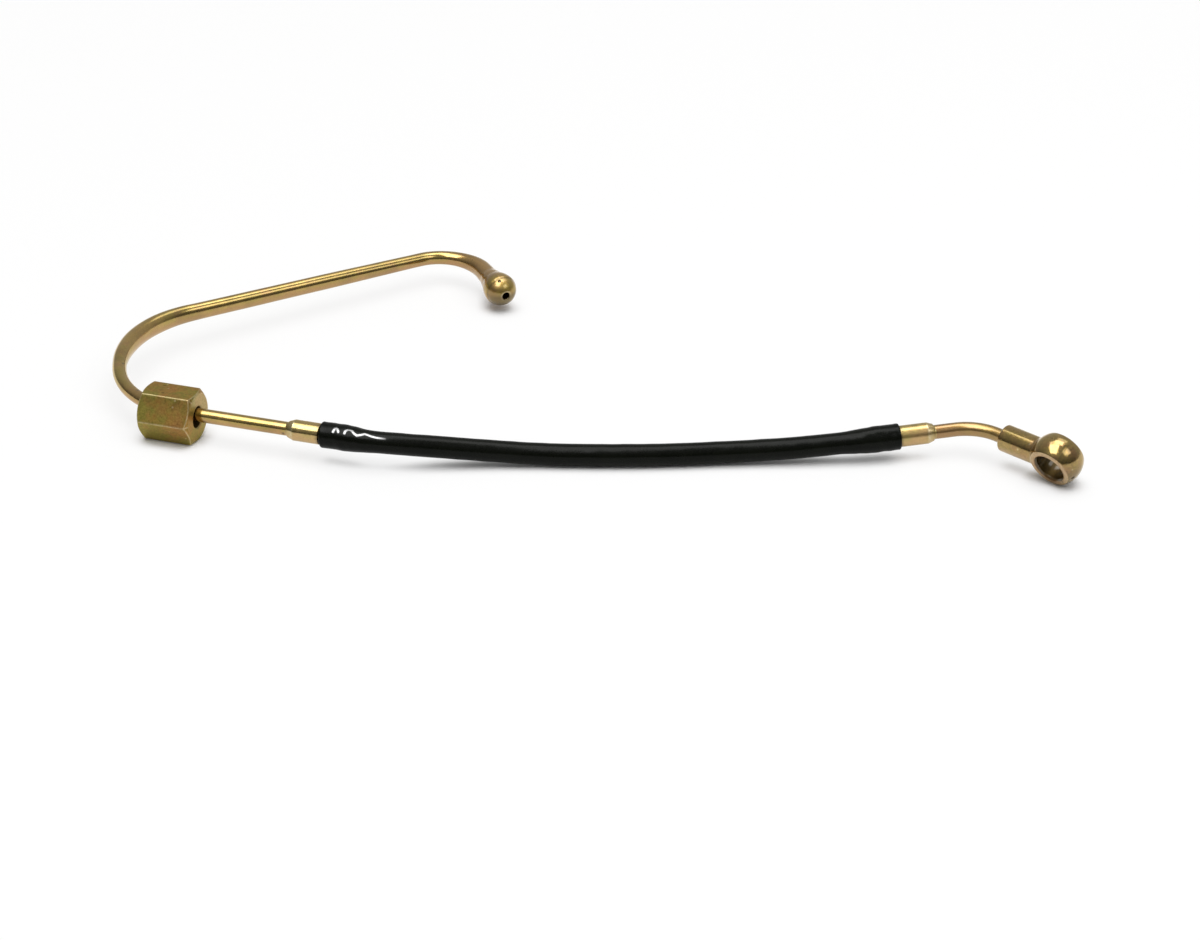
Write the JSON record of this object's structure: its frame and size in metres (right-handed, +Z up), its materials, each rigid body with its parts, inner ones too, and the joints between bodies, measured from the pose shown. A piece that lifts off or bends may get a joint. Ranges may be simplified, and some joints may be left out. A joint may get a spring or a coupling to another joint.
{
  "type": "fuel injection hose",
  "caption": "Fuel line: bent steel tube with a ball end and a loose union nut, a rubber hose on barbed nipples, and a short tube brazed into a banjo eye.",
  "frame": {"origin": "middle of the flat that the union nut lies on, on the surface under the line", "axes": "+X along the union nut's axis towards the hose, +Z up from the surface, +Y to the side that the long tube bends to"},
  "size_m": [0.3351, 0.1586, 0.0176],
  "materials": {
    "tube_zinc": "glossy yellow chromated zinc plating",
    "fitting_zinc": "satin olive-yellow chromated zinc plating, mottled",
    "collar_zinc": "turned, yellow chromated zinc plating",
    "rubber": "smooth black, slightly glossy"
  },
  "bodies": {
    "line": {"olive_tube": "tube_zinc", "left_hose_nipple": "collar_zinc", "rubber_hose": "rubber", "right_hose_nipple": "collar_zinc", "banjo_tube": "tube_zinc", "banjo_fitting": "fitting_zinc"},
    "nut": {"union_nut": "fitting_zinc"}
  },
  "joints": [
    {"name": "nut_slide", "type": "slide", "parent": "line", "child": "nut", "axis": [1, 0, 0], "range_m": [-0.003, 0.033]}
  ]
}
